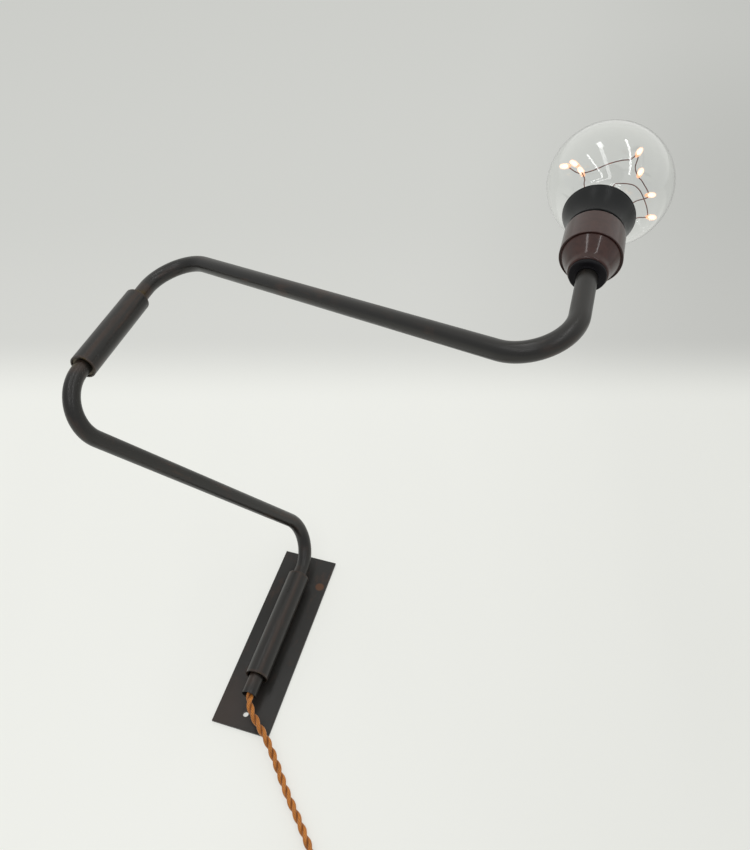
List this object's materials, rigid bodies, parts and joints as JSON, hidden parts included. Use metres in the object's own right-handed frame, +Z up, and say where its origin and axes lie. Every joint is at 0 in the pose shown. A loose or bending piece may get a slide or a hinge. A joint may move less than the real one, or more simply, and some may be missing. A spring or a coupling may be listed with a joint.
{
  "type": "articulating wall lamp",
  "caption": "Wall lamp with a long narrow back plate, two swinging arms of bent tube joined by an upright sleeve, a screw holder with a clear globe bulb and a corded plug.",
  "frame": {"origin": "centre of the back plate's rear face, on the wall", "axes": "+Z up along the plate, +Y into the wall, +X to the right as seen from the room"},
  "size_m": [0.4299, 0.4725, 0.5893],
  "materials": {
    "dark_patina_brass": "dark bronze patina on brass, satin, brown where it is rubbed",
    "turned_brass": "plain turned brass, satin",
    "nylon": "natural nylon",
    "brown_bakelite": "glossy dark brown moulded resin",
    "black_plastic": "black satin plastic",
    "zinc_steel": "bright plated",
    "white_ceramic": "glazed ceramic",
    "clear_glass": "clear blown glass",
    "copper_wire": "bare copper wire",
    "warm_led": "lit warm white drops of resin",
    "driver_board": "circuit board",
    "white_plastic": "white moulded plastic",
    "wire_insulation": "insulated core",
    "amber_cord_fabric": "twisted cord in amber braided textile",
    "tie_strap": "black hook and loop strap"
  },
  "bodies": {
    "wall_bracket": {"back_plate": "dark_patina_brass", "standoff_bar": "dark_patina_brass", "wall_sleeve": "dark_patina_brass", "wall_lower_bush": "turned_brass", "wall_upper_bush": "turned_brass", "wall_thrust_washer": "nylon", "cord_lead": "amber_cord_fabric", "cord_coil": "amber_cord_fabric", "cord_tail": "amber_cord_fabric", "cord_tie": "tie_strap", "plug_strain_relief": "black_plastic", "plug_body": "black_plastic", "plug_pins": "turned_brass"},
    "lower_arm": {"lower_arm_tube": "dark_patina_brass", "lower_thrust_ring": "turned_brass", "cable_in_lower_arm": "amber_cord_fabric", "elbow_sleeve": "dark_patina_brass", "elbow_ferrule": "turned_brass", "elbow_lower_bush": "turned_brass", "elbow_upper_bush": "turned_brass", "elbow_thrust_washer": "nylon"},
    "upper_arm": {"upper_arm_tube": "dark_patina_brass", "upper_thrust_ring": "turned_brass", "cable_in_upper_arm": "amber_cord_fabric", "threaded_nipple": "turned_brass", "holder_collar": "black_plastic", "nipple_locknut": "turned_brass", "holder_cap": "brown_bakelite", "grub_screw": "zinc_steel", "holder_body": "brown_bakelite", "socket_insert": "white_ceramic", "thread_shell": "turned_brass", "centre_contact": "turned_brass", "terminal_screws": "turned_brass", "core_wires": "wire_insulation"},
    "bulb": {"bulb_cup": "black_plastic", "bulb_globe": "clear_glass", "bulb_screw_shell": "zinc_steel", "bulb_insulator": "black_plastic", "bulb_tip": "zinc_steel", "led_driver": "driver_board", "led_stem": "white_plastic", "led_wires": "copper_wire", "led_grains": "warm_led"}
  },
  "joints": [
    {"name": "wall_swing", "type": "hinge", "parent": "wall_bracket", "child": "lower_arm", "pos_m": [0, -0.0175, 0], "axis": [0, 0, 1], "range_deg": [-64.5, 115.5]},
    {"name": "elbow_swing", "type": "hinge", "parent": "lower_arm", "child": "upper_arm", "pos_m": [-0.14336, -0.31806, 0.06902], "axis": [0, 0, -1], "range_deg": [-61, 204]},
    {"name": "bulb_unscrew", "type": "hinge", "parent": "upper_arm", "child": "bulb", "pos_m": [0.22483, -0.42712, 0.15], "axis": [0, 0, 1], "range_deg": [0, 360]}
  ]
}
